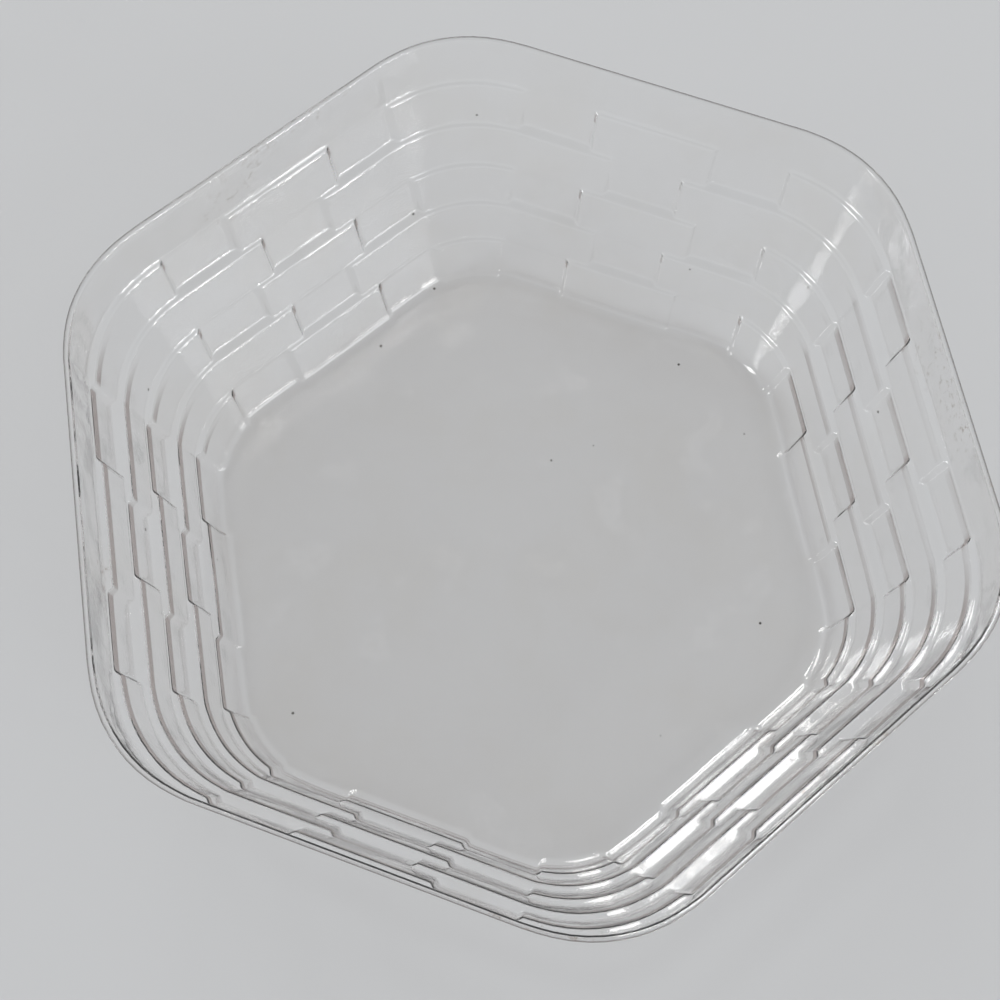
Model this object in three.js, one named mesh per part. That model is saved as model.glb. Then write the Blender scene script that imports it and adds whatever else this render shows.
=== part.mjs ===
// Hexagonal tray formed in one piece from clear sheet, its wall pressed in relief like basket weave.
// Millimetres, +Z up. The origin is at the middle of the flat underside of the floor.

import * as THREE from "three";

// Overall size
const sideCount = 6;
const rimWidth = 270; // across the flats
const rimCornerRadius = 47;
const height = 104;
const sheet = 0.6;

// Lip and the smooth band below it
const lipWidth = 1.8;
const lipBendRadius = 1.2;
const bandHeight = 19;
const bandDraft = THREE.MathUtils.degToRad(3.7);

// Stepped courses of the weave, each one set in from the course above by a sloping ledge.
// The floor cuts the last course short.
const courseCount = 5;
const lastCourseCut = 1.4;
const ledgeDepth = 1.9;
const ledgeDrop = 1;
const courseDraft = THREE.MathUtils.degToRad(12.4);

// Raised blocks, pushed outward so that the strands seem to pass over and under each other
const raisedDepth = 1.5;
const raisedLength = 25.8;
const betweenLength = 43.6;
const seamWidth = 1.4;
const weaveShift = 1.7;

// Floor
const floorFilletRadius = 4.2;

// Fineness of the curved parts
const cornerSteps = 6;
const lipBendSteps = 3;
const filletSteps = 4;

// Finish: clear plastic, glossy, with a faint grey cast
const clearColor = 0xd9dbda;
const clearRoughness = 0.08;
const clearOpacity = 0.35;

// Sizes that follow from the ones above
const rimApothem = rimWidth / 2;
const bandTopApothem = rimApothem - lipWidth;
const weaveTopApothem = bandTopApothem - bandHeight * Math.tan(bandDraft);
const filletTurn = Math.PI / 2 - courseDraft;
const footHeight = sheet + floorFilletRadius * (1 - Math.cos(filletTurn));
const courseHeight = (height - bandHeight - footHeight + lastCourseCut) / courseCount;
const courseInset = ledgeDepth + (courseHeight - ledgeDrop) * Math.tan(courseDraft);
const halfSector = Math.PI / sideCount;

// A raised block lies against the upper part of its ledge and leaves only this share of it open.
const openLedgeShare = 1 - raisedDepth / ledgeDepth;

// Odd courses have two raised blocks on each side and even courses one, so the joints are staggered.
// The smooth band above the first course has none.
function raisedCentres(course) {
  if (course < 0) {
    return [];
  }
  const isOdd = course % 2 === 0;
  const pairOffset = (betweenLength + raisedLength) / 2;
  return isOdd ? [-pairOffset, pairOffset] : [0];
}

// Tells whether a column lies on a raised block of the given course.
function isRaised(course, column) {
  const place = column.place + weaveShift;
  const isOnBlock = raisedCentres(course).some((centre) => Math.abs(place - centre) < raisedLength / 2);
  return isOnBlock && column.cornerShare === 0;
}

// Columns of the wall between two corner middles: both edges of each seam, then steps round the corner.
// A column is a place along the side, or a share of the way from the last seam to the corner middle.
function sideColumns() {
  const places = new Set();
  for (const course of [0, 1]) {
    for (const centre of raisedCentres(course)) {
      for (const end of [-raisedLength / 2, raisedLength / 2]) {
        places.add(centre + end - seamWidth / 2 - weaveShift);
        places.add(centre + end + seamWidth / 2 - weaveShift);
      }
    }
  }
  const seams = [...places].sort((first, second) => first - second);
  const columns = seams.map((place) => ({ place, cornerShare: 0 }));
  for (let step = 1; step < cornerSteps; step += 1) {
    const cornerShare = step / cornerSteps;
    columns.unshift({ place: seams[0], cornerShare });
    columns.push({ place: seams.at(-1), cornerShare });
  }
  columns.push({ place: seams.at(-1), cornerShare: 1 });
  return columns;
}

// A point on the rounded hexagon with the given apothem, on one side, at one column.
function ringPoint(side, column, apothem, z) {
  const radius = (rimCornerRadius * apothem) / rimApothem;
  const flatHalf = (apothem - radius) * Math.tan(halfSector);
  const sectorHalf = flatHalf + radius * halfSector;
  const direction = Math.sign(column.place);
  const fromMiddle = THREE.MathUtils.lerp(Math.abs(column.place), sectorHalf, column.cornerShare);
  const turn = Math.max(0, fromMiddle - flatHalf) / radius;
  const along = direction * (Math.min(fromMiddle, flatHalf) + radius * Math.sin(turn));
  const outward = apothem - radius + radius * Math.cos(turn);
  const point = new THREE.Vector3(outward, along, z);
  return point.applyAxisAngle(new THREE.Vector3(0, 0, 1), (2 * side + 1) * halfSector);
}

// Points along an arc that turns from a start angle to an end angle, both ends included.
function arcPoints(centreX, centreY, radius, startAngle, endAngle, steps) {
  const points = [];
  for (let step = 0; step <= steps; step += 1) {
    const angle = THREE.MathUtils.lerp(startAngle, endAngle, step / steps);
    points.push(new THREE.Vector2(centreX + radius * Math.cos(angle), centreY + radius * Math.sin(angle)));
  }
  return points;
}

// Inner profile of the wall at one column, as apothem and height, from the lip's edge to the floor.
// Each ledge is one sloping strip. Below a raised block it starts a whole ledge further out, and
// above a raised block it stops short.
function innerProfile(column) {
  const profile = [new THREE.Vector2(rimApothem, height)];
  const bendX = bandTopApothem + lipBendRadius;
  const bendZ = height - lipBendRadius;
  profile.push(...arcPoints(bendX, bendZ, lipBendRadius, Math.PI / 2, Math.PI - bandDraft, lipBendSteps));
  for (let course = 0; course < courseCount; course += 1) {
    const top = height - bandHeight - course * courseHeight;
    const topApothem = weaveTopApothem - course * courseInset;
    const outerShare = isRaised(course - 1, column) ? 1 : 0;
    const innerShare = isRaised(course, column) ? openLedgeShare : 1;
    profile.push(new THREE.Vector2(topApothem + ledgeDepth * outerShare, top + ledgeDrop * outerShare));
    profile.push(new THREE.Vector2(topApothem - ledgeDepth * innerShare, top - ledgeDrop * innerShare));
  }
  const push = isRaised(courseCount - 1, column) ? raisedDepth : 0;
  const wallFoot = weaveTopApothem - courseCount * courseInset + lastCourseCut * Math.tan(courseDraft) + push;
  const filletX = wallFoot - floorFilletRadius * Math.cos(courseDraft);
  const filletZ = sheet + floorFilletRadius;
  profile.push(...arcPoints(filletX, filletZ, floorFilletRadius, -courseDraft, -Math.PI / 2, filletSteps));
  return profile;
}

// The same profile set off by the sheet's thickness, away from the inside of the tray.
function outerProfile(inner) {
  const last = inner.length - 1;
  return inner.map((point, index) => {
    const before = index > 0 ? inner[index - 1] : new THREE.Vector2(point.x + sheet, point.y);
    const after = index < last ? inner[index + 1] : new THREE.Vector2(point.x - sheet, point.y);
    const arriving = new THREE.Vector2().subVectors(point, before).normalize();
    const leaving = new THREE.Vector2().subVectors(after, point).normalize();
    const normal = new THREE.Vector2(-arriving.y - leaving.y, arriving.x + leaving.x).normalize();
    const slant = normal.x * -arriving.y + normal.y * arriving.x;
    return point.clone().addScaledVector(normal, sheet / slant);
  });
}

// One closed skin: the inner surface, the outer surface, the cut edge of the lip and both floor faces.
function trayGeometry() {
  const columns = sideColumns();
  const inner = columns.map(innerProfile);
  const outer = inner.map(outerProfile);
  const rowCount = inner[0].length;
  const positions = [];
  const indices = [];
  const columnCount = sideCount * columns.length;

  function addSurface(profiles) {
    const first = positions.length / 3;
    for (let row = 0; row < rowCount; row += 1) {
      for (let side = 0; side < sideCount; side += 1) {
        columns.forEach((column, index) => {
          const spot = profiles[index][row];
          positions.push(...ringPoint(side, column, spot.x, spot.y).toArray());
        });
      }
    }
    return first;
  }

  const innerFirst = addSurface(inner);
  const outerFirst = addSurface(outer);

  function addQuad(a, b, c, d) {
    indices.push(a, b, c, a, c, d);
  }

  for (let row = 0; row < rowCount - 1; row += 1) {
    for (let index = 0; index < columnCount; index += 1) {
      const next = (index + 1) % columnCount;
      const upper = row * columnCount;
      const lower = upper + columnCount;
      addQuad(innerFirst + upper + next, innerFirst + lower + next, innerFirst + lower + index,
        innerFirst + upper + index);
      addQuad(outerFirst + upper + index, outerFirst + lower + index, outerFirst + lower + next,
        outerFirst + upper + next);
    }
  }

  const floorRow = (rowCount - 1) * columnCount;
  const innerCentre = positions.length / 3;
  positions.push(0, 0, sheet);
  const outerCentre = innerCentre + 1;
  positions.push(0, 0, 0);
  for (let index = 0; index < columnCount; index += 1) {
    const next = (index + 1) % columnCount;
    addQuad(innerFirst + index, outerFirst + index, outerFirst + next, innerFirst + next);
    indices.push(innerCentre, innerFirst + floorRow + index, innerFirst + floorRow + next);
    indices.push(outerCentre, outerFirst + floorRow + next, outerFirst + floorRow + index);
  }

  const geometry = new THREE.BufferGeometry();
  geometry.setAttribute("position", new THREE.Float32BufferAttribute(positions, 3));
  geometry.setIndex(indices);
  geometry.computeVertexNormals();
  return geometry;
}

const clearPlastic = new THREE.MeshStandardMaterial({
  color: clearColor,
  roughness: clearRoughness,
  metalness: 0,
  transparent: true,
  opacity: clearOpacity,
});

const shell = new THREE.Mesh(trayGeometry(), clearPlastic);
shell.name = "basket_shell";

const tray = new THREE.Group();
tray.add(shell);

export default tray;
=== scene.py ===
# %% [markdown]
# # A clear hexagonal tray with a basket-weave wall
# The real thing is one thin sheet of clear plastic, heated and drawn into a mould. It has a small
# turned-out lip, a smooth band, five stepped courses pressed to look like woven strands, and a flat
# floor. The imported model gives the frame: one node, `basket_shell`, with plain facets. Here the
# sheet is made again with round bends, real thickness and a clear material.

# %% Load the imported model
import math

import bmesh
import bpy
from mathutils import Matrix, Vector


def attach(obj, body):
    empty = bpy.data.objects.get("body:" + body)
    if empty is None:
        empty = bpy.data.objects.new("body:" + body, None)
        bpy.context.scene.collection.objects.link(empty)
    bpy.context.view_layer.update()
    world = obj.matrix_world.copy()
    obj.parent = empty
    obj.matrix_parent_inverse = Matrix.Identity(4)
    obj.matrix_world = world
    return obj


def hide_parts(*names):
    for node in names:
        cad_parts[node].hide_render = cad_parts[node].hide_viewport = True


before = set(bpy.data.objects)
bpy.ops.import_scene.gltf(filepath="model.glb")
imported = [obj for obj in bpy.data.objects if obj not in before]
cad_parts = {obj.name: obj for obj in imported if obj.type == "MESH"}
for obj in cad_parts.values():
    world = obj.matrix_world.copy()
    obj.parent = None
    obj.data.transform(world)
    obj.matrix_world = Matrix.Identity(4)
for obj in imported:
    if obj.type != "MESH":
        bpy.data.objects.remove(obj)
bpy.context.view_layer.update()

# %% [markdown]
# ## Sizes
# The tray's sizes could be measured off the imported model's mesh. They are written out instead, as
# its source has them, because then each one has a name and the shape can be followed on paper. An
# apothem is the distance from the middle to a flat side, and a draft is the lean of a wall that
# lets the tray leave its mould.

# %% Sizes of the tray in metres, as in the part's source
mm = 0.001
side_count = 6
rim_apothem = 135.0 * mm
rim_corner_radius = 47.0 * mm
height = 104.0 * mm
sheet = 0.6 * mm
lip_width = 1.8 * mm
lip_bend = 1.2 * mm
band_height = 19.0 * mm
band_draft_degrees = 3.7
band_slope = math.tan(math.radians(band_draft_degrees))
course_count = 5
last_course_cut = 1.4 * mm
ledge_depth = 1.9 * mm
ledge_drop = 1.0 * mm
course_draft = math.radians(12.4)
course_slope = math.tan(course_draft)
raised_depth = 1.5 * mm
raised_length = 25.8 * mm
between_length = 43.6 * mm
seam_width = 1.4 * mm
weave_shift = 1.7 * mm
fillet_radius = 4.2 * mm

half_sector = math.pi / side_count
band_top = rim_apothem - lip_width
weave_top = band_top - band_height * band_slope
foot_height = sheet + fillet_radius * (1 - math.sin(course_draft))
course_height = (height - band_height - foot_height + last_course_cut) / course_count
course_inset = ledge_depth + (course_height - ledge_drop) * course_slope
print("course height in mm:", round(course_height / mm, 2))

# %% [markdown]
# ## The camera
# The photograph looks down into the tray from one side. A camera could be moved by eye until the
# picture agrees, but its place, turn and lens were worked out from the rim, the ledges and the
# seams, so the edges fall where the photograph has them.

# %% Camera
camera_data = bpy.data.cameras.new("photo_camera")
camera_data.sensor_width = 36.0
camera_data.lens = 53.197
camera_data.clip_start = 0.01
camera_data.clip_end = 30.0
camera = bpy.data.objects.new("photo_camera", camera_data)
bpy.context.collection.objects.link(camera)
camera_turns = (20.9015, -0.2606, -39.9347)
camera.location = (-0.12059, -0.12991, 0.51358)
camera.rotation_euler = [math.radians(turn) for turn in camera_turns]
bpy.context.scene.camera = camera
print("camera distance from the origin in metres:", round(camera.location.length, 3))

# %% [markdown]
# ## The floor and the light
# Clear plastic shows what is around it, so the surroundings matter as much as the tray. A pale
# matt floor stands for the table. The room is softly bright, and darker overhead so that the
# floor of the tray stays calm. A photographed panorama could light it too, but plain windows can
# be moved until each highlight falls where the photograph has it. There are five: one for the
# ledges far from the camera, one for the panels above them, one for the corner at the right, one
# for the near wall and a small high one for the fillet of the floor.

# %% Floor
floor_width = 8.0
air_gap = 0.2 * mm
bpy.ops.object.select_all(action="DESELECT")
bpy.ops.mesh.primitive_plane_add(size=floor_width, location=(0.0, 0.0, -air_gap))
floor = bpy.context.object
floor.name = "pale_floor"
table = bpy.data.materials.new("pale_table")
table.use_nodes = True
matt = table.node_tree.nodes["Principled BSDF"]
matt.inputs["Base Color"].default_value = (0.54, 0.54, 0.545, 1.0)
matt.inputs["Roughness"].default_value = 0.8
matt.inputs["Specular IOR Level"].default_value = 0.2
floor.data.materials.append(table)
print("floor across in metres:", floor.dimensions.x)

# %% The room's soft light, bright low down and darker overhead
low_brightness = 0.75
overhead_brightness = 0.28
world = bpy.data.worlds.new("soft_room")
world.use_nodes = True
world_nodes = world.node_tree.nodes
world_links = world.node_tree.links
room = world_nodes["Background"]
room.inputs["Color"].default_value = (0.955, 0.98, 1.0, 1.0)
direction = world_nodes.new("ShaderNodeTexCoord")
split = world_nodes.new("ShaderNodeSeparateXYZ")
world_links.new(direction.outputs["Generated"], split.inputs[0])
level = world_nodes.new("ShaderNodeMapRange")
level.interpolation_type = "SMOOTHSTEP"
level.inputs["From Min"].default_value = 0.70
level.inputs["From Max"].default_value = 0.95
level.inputs["To Min"].default_value = low_brightness
level.inputs["To Max"].default_value = overhead_brightness
world_links.new(split.outputs["Z"], level.inputs["Value"])
world_links.new(level.outputs["Result"], room.inputs["Strength"])
bpy.context.scene.world = world
print("room's brightness, low down and overhead:", low_brightness, overhead_brightness)

# %% A window is a row of bright panes with gaps as wide as the panes
window_distance = 5.0
plain_white = (1.0, 1.0, 1.0)
warm_white = (1.0, 0.99, 0.97)
cool_white = (0.97, 0.99, 1.0)


def add_window(name, panes, azimuth, elevation, width, tall, radiance, color):
    turn = math.radians(azimuth)
    rise = math.radians(elevation)
    reach = window_distance * math.cos(rise)
    place = Vector((
        reach * math.cos(turn), reach * math.sin(turn), window_distance * math.sin(rise)))
    facing_in = place.to_track_quat("Z", "Y")
    pane_width = width / (2 * panes - 1)
    for pane in range(panes):
        lamp_data = bpy.data.lights.new(f"{name}_{pane + 1}", "AREA")
        lamp_data.shape = "RECTANGLE"
        lamp_data.size = pane_width
        lamp_data.size_y = tall
        lamp_data.energy = math.pi * pane_width * tall * radiance
        lamp_data.color = color
        lamp = bpy.data.objects.new(lamp_data.name, lamp_data)
        bpy.context.collection.objects.link(lamp)
        along = Vector(((2 * pane - panes + 1) * pane_width, 0.0, 0.0))
        lamp.location = place + facing_in @ along
        lamp.rotation_euler = facing_in.to_euler()
    print(name, "at", [round(value, 2) for value in place], "panes:", panes)


# %% Windows round the table, with angles in degrees and sizes in metres
add_window(
    "window_right", panes=3, azimuth=75, elevation=29,
    width=3.6, tall=1.9, radiance=6.2, color=warm_white)
add_window(
    "window_left", panes=1, azimuth=158, elevation=34,
    width=0.6, tall=2.3, radiance=8.0, color=plain_white)
add_window(
    "window_back_low", panes=5, azimuth=286, elevation=13,
    width=2.6, tall=0.7, radiance=40.0, color=plain_white)
add_window(
    "window_back_high", panes=1, azimuth=287, elevation=36,
    width=2.4, tall=1.7, radiance=2.3, color=cool_white)
add_window(
    "window_high", panes=1, azimuth=70, elevation=51,
    width=1.2, tall=0.7, radiance=9.0, color=plain_white)

# %% [markdown]
# ## One side of the sheet
# The real tray starts as a flat sheet that is drawn down into a mould, so this one starts as a flat
# grid. Its rows are level rings and its columns run down the wall. The rings shrink on the way
# down, but the seams of the weave keep their place along each side. Scaled copies of one ring
# would carry the seams inward, so every row is laid out by rule instead: its seam points at fixed
# places, and the rest shared out evenly round the corner. Every bend has a few close rows of its
# own, and every seam two pairs of close points, so that smoothing keeps them tight. All six sides
# are alike, so one is made and copied.

# %% Columns of points between two corner middles
seam_bend_half = 0.5 * mm
corner_steps = 3


def raised_centres(course):
    offset = (between_length + raised_length) / 2
    return [-offset, offset] if course % 2 == 0 else [0.0]


def side_columns():
    places = set()
    for course in (0, 1):
        for centre in raised_centres(course):
            for end in (-raised_length / 2, raised_length / 2):
                for step in (-1, 1):
                    edge = centre + end + step * seam_width / 2 - weave_shift
                    places.update((edge, edge + step * seam_bend_half))
            places.add(centre - weave_shift)
    seams = sorted(places)
    shares = [step / corner_steps for step in range(1, corner_steps + 1)]
    start = [(seams[0], share) for share in reversed(shares)]
    return start + [(place, 0.0) for place in seams] + [(seams[-1], share) for share in shares]


columns = side_columns()
print("columns on one side:", len(columns))


# %% One point of the wall, on the side that faces +X
def wall_point(apothem, z, place, share):
    radius = rim_corner_radius * apothem / rim_apothem
    flat_half = (apothem - radius) * math.tan(half_sector)
    sector_half = flat_half + radius * half_sector
    distance = abs(place) + (sector_half - abs(place)) * share
    turn = max(0.0, distance - flat_half) / radius
    along = math.copysign(min(distance, flat_half) + radius * math.sin(turn), place)
    return Vector((apothem - radius + radius * math.cos(turn), along, z))


rim_corner = wall_point(rim_apothem, height, *columns[-1])
print("rim's reach at a corner in mm:", round(rim_corner.xy.length / mm, 2))


# %% Rows round an arc, and rows round the bend between two straight runs
def arc_rows(centre_x, centre_z, radius, start, end, steps):
    rows = []
    for step in range(steps + 1):
        angle = math.radians(start + (end - start) * step / steps)
        rows.append((centre_x + radius * math.cos(angle), centre_z + radius * math.sin(angle)))
    return rows


def bend_rows(before, bend, after, radius, steps):
    arriving = (Vector(bend) - Vector(before)).normalized()
    leaving = (Vector(after) - Vector(bend)).normalized()
    turn = arriving.angle(leaving)
    reach = radius * math.tan(turn / 2)
    rows = []
    for step in range(steps + 1):
        share = step / steps
        first = Vector(bend) - arriving * reach * (1 - share)
        second = Vector(bend) + leaving * reach * share
        rows.append(tuple(first.lerp(second, share)))
    return rows


# %% Rows of the wall, from the lip's edge down to the floor
lip_steps = 3
bend_steps = 4
fillet_steps = 4
inner_bend = 1.7 * mm
nosing_bend = 2.0 * mm
band_guard = 4.0 * mm  # an extra row this far below the rim keeps the band straight
foot_guard = 3.0 * mm  # and one this far above the wall's foot does so for the last course


def wall_rows():
    rows = [(rim_apothem, height)]
    rows += arc_rows(
        band_top + lip_bend, height - lip_bend, lip_bend, 90.0, 180.0 - band_draft_degrees,
        lip_steps)
    rows.append((band_top - band_guard * band_slope, height - band_guard))
    before = rows[-1]
    for course in range(course_count):
        top = (weave_top - course * course_inset, height - band_height - course * course_height)
        low = (top[0] - ledge_depth, top[1] - ledge_drop)
        after = (low[0] - course_height * course_slope, low[1] - course_height)
        rows += bend_rows(before, top, low, inner_bend, bend_steps)
        rows += bend_rows(top, low, after, nosing_bend, bend_steps)
        before = low
    foot_x = low[0] - (low[1] - foot_height) * course_slope
    rows.append((foot_x + foot_guard * course_slope, foot_height + foot_guard))
    rows += arc_rows(
        foot_x - fillet_radius * math.cos(course_draft), sheet + fillet_radius, fillet_radius,
        -math.degrees(course_draft), -90.0, fillet_steps)
    return rows


rows = wall_rows()
print("rows of the wall:", len(rows))

# %% Lay the flat grid into the shape of one side
bpy.ops.object.select_all(action="DESELECT")
bpy.ops.mesh.primitive_grid_add(
    x_subdivisions=len(rows) - 1, y_subdivisions=len(columns) - 1, size=2 * rim_apothem)
shell = bpy.context.object
shell.name = "tray_sheet"
grid = sorted(shell.data.vertices, key=lambda vert: (-round(vert.co.x, 5), round(vert.co.y, 5)))
for number, vert in enumerate(grid):
    apothem, z = rows[number // len(columns)]
    vert.co = wall_point(apothem, z, *columns[number % len(columns)])
print("points on one side:", len(grid))

# %% Mark the folds and the cut edge, where the material paints shade
# Each ledge has a hollow bend where it leaves the wall above, and a nosing, the bend that stands
# out into the tray. The nosings are marked, and the upper half of the floor's fillet; the material
# paints shade along them and dims the shadow through them.
first_ledge = lip_steps + 3
rows_per_course = 2 * (bend_steps + 1)
weave_rows = range(first_ledge, first_ledge + rows_per_course * course_count)
nosing_rows = [row for row in weave_rows if (row - first_ledge) % rows_per_course > bend_steps]
fillet_row = len(rows) - fillet_steps
fold_rows = {*nosing_rows, fillet_row, fillet_row + 1}
fold = shell.data.attributes.new("fold", "FLOAT", "POINT")
cut_edge = shell.data.attributes.new("cut_edge", "FLOAT", "POINT")
for number, vert in enumerate(grid):
    row = number // len(columns)
    fold.data[vert.index].value = 1.0 if row in fold_rows else 0.0
    cut_edge.data[vert.index].value = 1.0 if row == 0 else 0.0
print("rows marked as folds:", len(fold_rows))

# %% [markdown]
# ## The raised blocks
# Each strand that seems to pass in front is a block of the wall pushed outward. A picture could
# push the wall out too, but moved points keep each block's edges sharp and its seams in place.
# The points are selected by their place along the side and their height. The ledge over a block
# is squeezed toward its outer line, because the block covers most of it. The outer line of the
# ledge below a block is carried outward and up by one whole ledge, which makes that ledge twice as
# wide there, and the wall between the two follows. In the last course there is no ledge below, so
# everything down to the floor moves out.

# %% Select one block's points
place_slack = 0.01 * mm
level_slack = 0.02 * mm


def select_block(centre, block_levels):
    reach = raised_length / 2 - seam_width / 2 + place_slack
    bpy.ops.mesh.select_all(action="DESELECT")
    mesh = bmesh.from_edit_mesh(shell.data)
    for vert in mesh.verts:
        on_block = abs(vert.co.y + weave_shift - centre) < reach
        on_level = any(abs(vert.co.z - level) < level_slack for level in block_levels)
        vert.select_set(on_block and on_level)
    bmesh.update_edit_mesh(shell.data)


# %% Squeeze the ledge over each block, and widen the ledge below it
open_share = 1.0 - raised_depth / ledge_depth
levels = [z for apothem, z in rows]
block_count = 0
bpy.ops.object.mode_set(mode="EDIT")
bpy.ops.mesh.select_mode(type="VERT")
for course in reversed(range(course_count)):
    start = first_ledge + rows_per_course * course
    below = start + rows_per_course
    top_apothem = weave_top - course * course_inset
    top_level = height - band_height - course * course_height
    for centre in raised_centres(course):
        if course == course_count - 1:
            select_block(centre, levels[below:])
            bpy.ops.transform.translate(value=(raised_depth, 0.0, 0.0))
        else:
            select_block(centre, levels[below:below + bend_steps + 1])
            bpy.ops.transform.translate(value=(ledge_depth, 0.0, ledge_drop))
        select_block(centre, levels[start:below])
        bpy.ops.transform.resize(
            value=(open_share, 1.0, 1.0), center_override=(top_apothem, 0.0, top_level))
        block_count += 1
print("raised blocks on one side:", block_count)

# %% Copy the side round and join the six
merge_distance = 0.01 * mm
bpy.ops.mesh.select_all(action="SELECT")
bpy.ops.transform.rotate(value=-half_sector, orient_axis="Z", center_override=(0.0, 0.0, 0.0))
bpy.ops.mesh.spin(
    steps=side_count - 1, dupli=True, angle=math.tau * (side_count - 1) / side_count,
    center=(0.0, 0.0, 0.0), axis=(0.0, 0.0, 1.0))
bpy.ops.mesh.select_all(action="SELECT")
bpy.ops.mesh.remove_doubles(threshold=merge_distance)
bpy.ops.object.mode_set(mode="OBJECT")
print("points in the wall:", len(shell.data.vertices))

# %% [markdown]
# ## Round bends, the floor and real thickness
# Bevels could round each bend, but they would meet badly at the seams. A Subdivision Surface
# modifier rounds them all at once, as the hot sheet rounds over the mould. The floor is then drawn
# in from the wall's foot by extrude and scale, and Solidify gives the sheet its thickness on the
# outside, so that light is bent by two real surfaces.

# %% Round the bends
def apply_modifier(piece, kind, **settings):
    modifier = piece.modifiers.new(kind.lower(), kind)
    for key, value in settings.items():
        setattr(modifier, key, value)
    bpy.context.view_layer.objects.active = piece
    bpy.ops.object.modifier_apply(modifier=modifier.name)


apply_modifier(shell, "SUBSURF", levels=1, render_levels=1)
print("points after smoothing:", len(shell.data.vertices))

# %% The floor, drawn in ring by ring with extrude and scale, then closed
ring_shares = (0.985, 0.96, 0.85, 0.75, 0.6)
bpy.ops.object.mode_set(mode="EDIT")
bpy.ops.mesh.select_all(action="DESELECT")
mesh = bmesh.from_edit_mesh(shell.data)
for edge in mesh.edges:
    is_low = all(vert.co.z < 2 * sheet for vert in edge.verts)
    edge.select_set(edge.is_boundary and is_low)
bmesh.update_edit_mesh(shell.data)
for share in ring_shares:
    bpy.ops.mesh.extrude_region_move()
    bpy.ops.transform.resize(value=(share, share, 1.0), center_override=(0.0, 0.0, 0.0))
bpy.ops.mesh.edge_face_add()
bpy.ops.mesh.select_all(action="SELECT")
bpy.ops.mesh.normals_make_consistent(inside=False)
bpy.ops.object.mode_set(mode="OBJECT")
floor_face = max(shell.data.polygons, key=lambda face: len(face.vertices))
print("the floor's inner face looks up:", floor_face.normal.z > 0.0)

# %% Thicken the sheet on the outside, whichever way its faces look
inward = 1.0 if floor_face.normal.z > 0.0 else -1.0
apply_modifier(shell, "SOLIDIFY", thickness=sheet, offset=-inward, use_even_offset=True)
bpy.ops.object.shade_smooth()
low = [min(vert.co[axis] for vert in shell.data.vertices) for axis in range(3)]
high = [max(vert.co[axis] for vert in shell.data.vertices) for axis in range(3)]
print("sheet from", [round(value / mm, 2) for value in low])
print("sheet to", [round(value / mm, 2) for value in high])
print("triangles:", sum(len(face.vertices) - 2 for face in shell.data.polygons))

# %% [markdown]
# ## Clear plastic
# The sheet bends light like glass but a little more strongly. It isn't perfect: the mould leaves it
# faintly wavy and grained, which breaks the highlights into dashes, and handling leaves dull
# patches, a few dark specks and scuffs under the rim. The brown-grey lines that the bent sheet
# shows at its folds seen edge-on, and along its cut edge, are painted shade in its colour.
# Painted pictures could hold all this, but each is one small group of nodes here, so it stays
# crisp from any distance. All of them read Object coordinates, so nothing slides when the tray is
# seen from elsewhere.

# %% Helpers for nodes
clear = bpy.data.materials.new("clear_sheet")
clear.use_nodes = True
nodes = clear.node_tree.nodes
links = clear.node_tree.links
shader = nodes["Principled BSDF"]
color_a, color_b, color_out = 6, 7, 2  # the Mix node's sockets for colours


def add_node(kind, inputs=None, **settings):
    node = nodes.new(kind)
    for key, value in settings.items():
        setattr(node, key, value)
    for key, value in (inputs or {}).items():
        node.inputs[key].default_value = value
    return node


def remap(source, low, high, to_low=0.0, to_high=1.0):
    bounds = {"From Min": low, "From Max": high, "To Min": to_low, "To Max": to_high}
    node = add_node("ShaderNodeMapRange", bounds, interpolation_type="SMOOTHSTEP")
    links.new(source, node.inputs["Value"])
    return node.outputs["Result"]


def math_node(operation, first, second):
    node = add_node("ShaderNodeMath", operation=operation)
    links.new(first, node.inputs[0])
    if isinstance(second, float):
        node.inputs[1].default_value = second
    else:
        links.new(second, node.inputs[1])
    return node.outputs[0]


def tinted(under, factor, color):
    node = add_node("ShaderNodeMix", data_type="RGBA")
    links.new(factor, node.inputs["Factor"])
    if isinstance(under, tuple):
        node.inputs[color_a].default_value = under
    else:
        links.new(under, node.inputs[color_a])
    node.inputs[color_b].default_value = color
    return node.outputs[color_out]


coords = add_node("ShaderNodeTexCoord").outputs["Object"]


def noise(scale, detail, roughness=0.5):
    node = add_node(
        "ShaderNodeTexNoise", {"Scale": scale, "Detail": detail, "Roughness": roughness})
    links.new(coords, node.inputs["Vector"])
    return node.outputs["Fac"]


print("nodes to start from:", [node.name for node in nodes])

# %% Waves and grain of the formed sheet
wave_depth = 0.4 * mm
grain_depth = 0.02 * mm
waves = add_node("ShaderNodeBump", {"Strength": 0.8, "Distance": wave_depth})
links.new(noise(scale=60.0, detail=1.0), waves.inputs["Height"])
grain = add_node("ShaderNodeBump", {"Strength": 1.0, "Distance": grain_depth})
links.new(noise(scale=750.0, detail=2.0), grain.inputs["Height"])
links.new(waves.outputs["Normal"], grain.inputs["Normal"])
links.new(grain.outputs["Normal"], shader.inputs["Normal"])
print("waves and grain in mm:", wave_depth / mm, grain_depth / mm)

# %% Gloss with dull handling patches
glossy, dull = 0.02, 0.22
patches = remap(noise(scale=38.0, detail=2.0), low=0.54, high=0.68)
brushed = math_node("MULTIPLY", patches, noise(scale=420.0, detail=3.0, roughness=0.7))
roughness = remap(brushed, low=0.0, high=0.7, to_low=glossy, to_high=dull)
links.new(roughness, shader.inputs["Roughness"])
print("roughness from", glossy, "to", dull)
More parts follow.
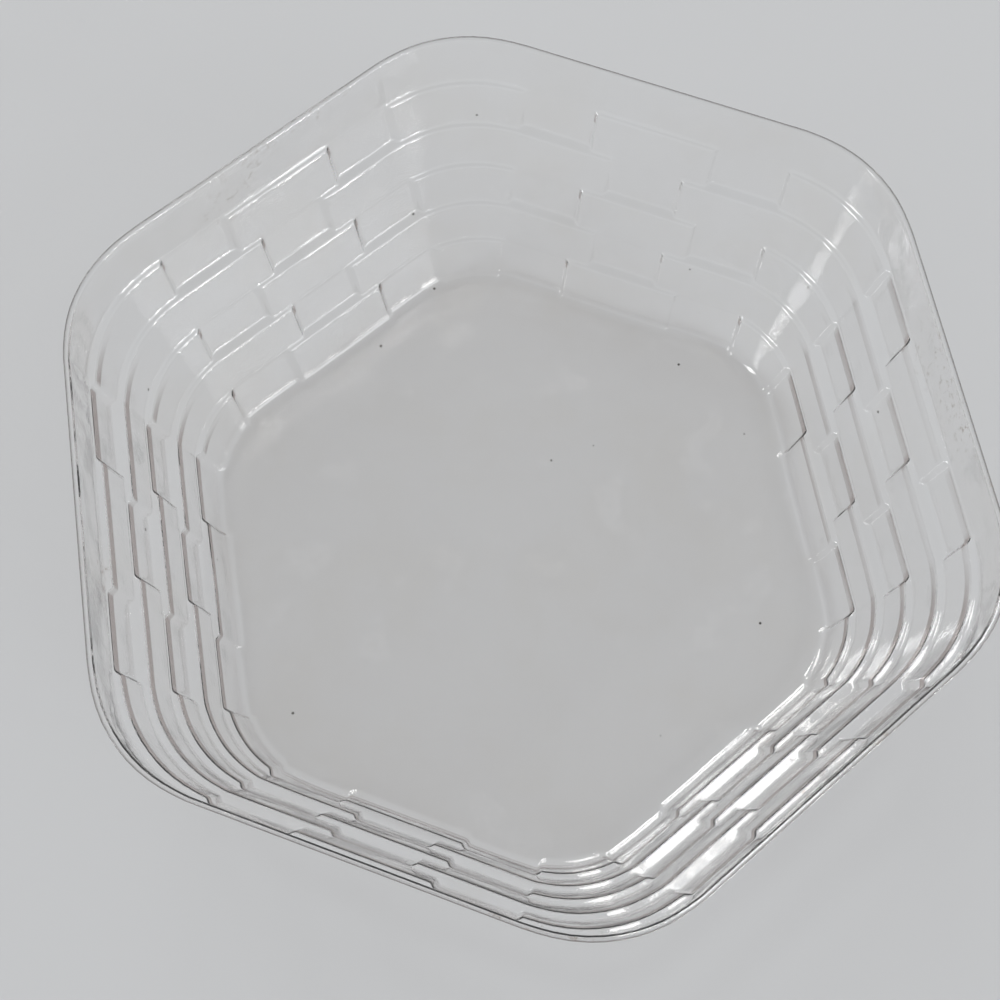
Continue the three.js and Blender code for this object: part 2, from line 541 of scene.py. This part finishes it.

# %% Painted shade on the folds, darker where they are seen edge-on, and on the cut edge
clear_tint = (0.99, 0.99, 0.99, 1.0)
mottled_tint = (0.975, 0.97, 0.96, 1.0)
# painted shade: the dark lines the bent sheet shows at its folds, where it turns light away
fold_painted_shade = (0.34, 0.27, 0.25, 1.0)
# painted shade: the thin dark line along the lip's cut edge
edge_painted_shade = (0.30, 0.28, 0.27, 1.0)
facing = add_node("ShaderNodeLayerWeight", {"Blend": 0.5}).outputs["Facing"]
fold_mark = add_node("ShaderNodeAttribute", attribute_name="fold").outputs["Fac"]
edge_mark = add_node("ShaderNodeAttribute", attribute_name="cut_edge").outputs["Fac"]
near_fold = remap(fold_mark, low=0.90, high=1.0)
# painted shade falls on the marked folds where the sheet is seen edge-on
fold_shade_mask = math_node("MULTIPLY", near_fold, remap(facing, low=0.42, high=0.60))
mottled = remap(noise(scale=24.0, detail=4.0, roughness=0.6), low=0.42, high=0.68)
sheet_color = tinted(clear_tint, mottled, mottled_tint)
sheet_color = tinted(sheet_color, fold_shade_mask, fold_painted_shade)
sheet_color = tinted(sheet_color, edge_mark, edge_painted_shade)
print("tint of a fold seen edge-on:", fold_painted_shade[:3])

# %% Dark specks
speck_tint = (0.10, 0.09, 0.08, 1.0)
empty_share = 0.6
cells = add_node("ShaderNodeTexVoronoi", {"Scale": 60.0})
links.new(coords, cells.inputs["Vector"])
cell_number = add_node("ShaderNodeSeparateXYZ")
links.new(cells.outputs["Color"], cell_number.inputs[0])
spot = remap(cells.outputs["Distance"], low=0.02, high=0.045, to_low=1.0, to_high=0.0)
has_speck = math_node("GREATER_THAN", cell_number.outputs["X"], empty_share)
specks = math_node("MULTIPLY", spot, has_speck)
sheet_color = tinted(sheet_color, specks, speck_tint)
print("share of the cells with a speck:", 1.0 - empty_share)

# %% A few scuffs under the rim
scuff_tint = (0.58, 0.51, 0.46, 1.0)
scuffs_begin = 78 * mm
scuffs_full = 88 * mm
height_of = add_node("ShaderNodeSeparateXYZ")
links.new(coords, height_of.inputs[0])
dust = remap(noise(scale=380.0, detail=4.0, roughness=0.8), low=0.57, high=0.65)
rubbed_places = remap(noise(scale=16.0, detail=0.0), low=0.60, high=0.69)
scuffed = math_node("MULTIPLY", dust, rubbed_places)
under_rim = remap(height_of.outputs["Z"], low=scuffs_begin, high=scuffs_full)
scuffed = math_node("MULTIPLY", scuffed, under_rim)
sheet_color = tinted(sheet_color, scuffed, scuff_tint)
print("scuffs above, in mm:", round(scuffs_begin / mm, 1))

# %% Clear like glass, and a little stronger in bending light
links.new(sheet_color, shader.inputs["Base Color"])
shader.inputs["Transmission Weight"].default_value = 1.0
shader.inputs["IOR"].default_value = 1.55
print("index of refraction:", round(shader.inputs["IOR"].default_value, 2))

# %% [markdown]
# ## Light through the sheet
# A lamp's light could be followed through the bent sheet, but that takes long and comes out as
# bright noise. So it goes straight through a plain see-through shader, and so do the rays between
# the table and the room, and light that is caught inside the sheet. This shader is darker at the
# folds and where the sheet is met edge-on, which gives the tray its soft shadow.

# %% Straight light for lamps and for light caught inside the sheet
free_bounces = 6.5
straight_tint = (0.99, 0.988, 0.985, 1.0)
grazing_tint = (0.74, 0.71, 0.69, 1.0)
fold_shadow_tint = (0.70, 0.68, 0.67, 1.0)
caught_tint = (0.90, 0.88, 0.87, 1.0)
rays = add_node("ShaderNodeLightPath")
straight = math_node("MAXIMUM", rays.outputs["Is Shadow Ray"], rays.outputs["Is Diffuse Ray"])
caught = math_node("GREATER_THAN", rays.outputs["Ray Depth"], free_bounces)
straight = math_node("MAXIMUM", straight, caught)
see_through = add_node("ShaderNodeBsdfTransparent")
dimmed = tinted(straight_tint, remap(facing, low=0.60, high=1.0), grazing_tint)
dimmed = tinted(dimmed, near_fold, fold_shadow_tint)
dimmed = tinted(dimmed, caught, caught_tint)
links.new(dimmed, see_through.inputs["Color"])
mixed = add_node("ShaderNodeMixShader")
links.new(straight, mixed.inputs[0])
links.new(shader.outputs[0], mixed.inputs[1])
links.new(see_through.outputs[0], mixed.inputs[2])
links.new(mixed.outputs[0], nodes["Material Output"].inputs["Surface"])
shell.data.materials.append(clear)
print("nodes in the clear material:", len(nodes))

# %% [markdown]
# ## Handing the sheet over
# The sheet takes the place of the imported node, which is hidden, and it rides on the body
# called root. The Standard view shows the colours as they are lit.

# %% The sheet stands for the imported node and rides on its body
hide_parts("basket_shell")
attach(shell, "root")
print("piece", shell.name, "stands for basket_shell")

bpy.context.scene.view_settings.view_transform = "Standard"
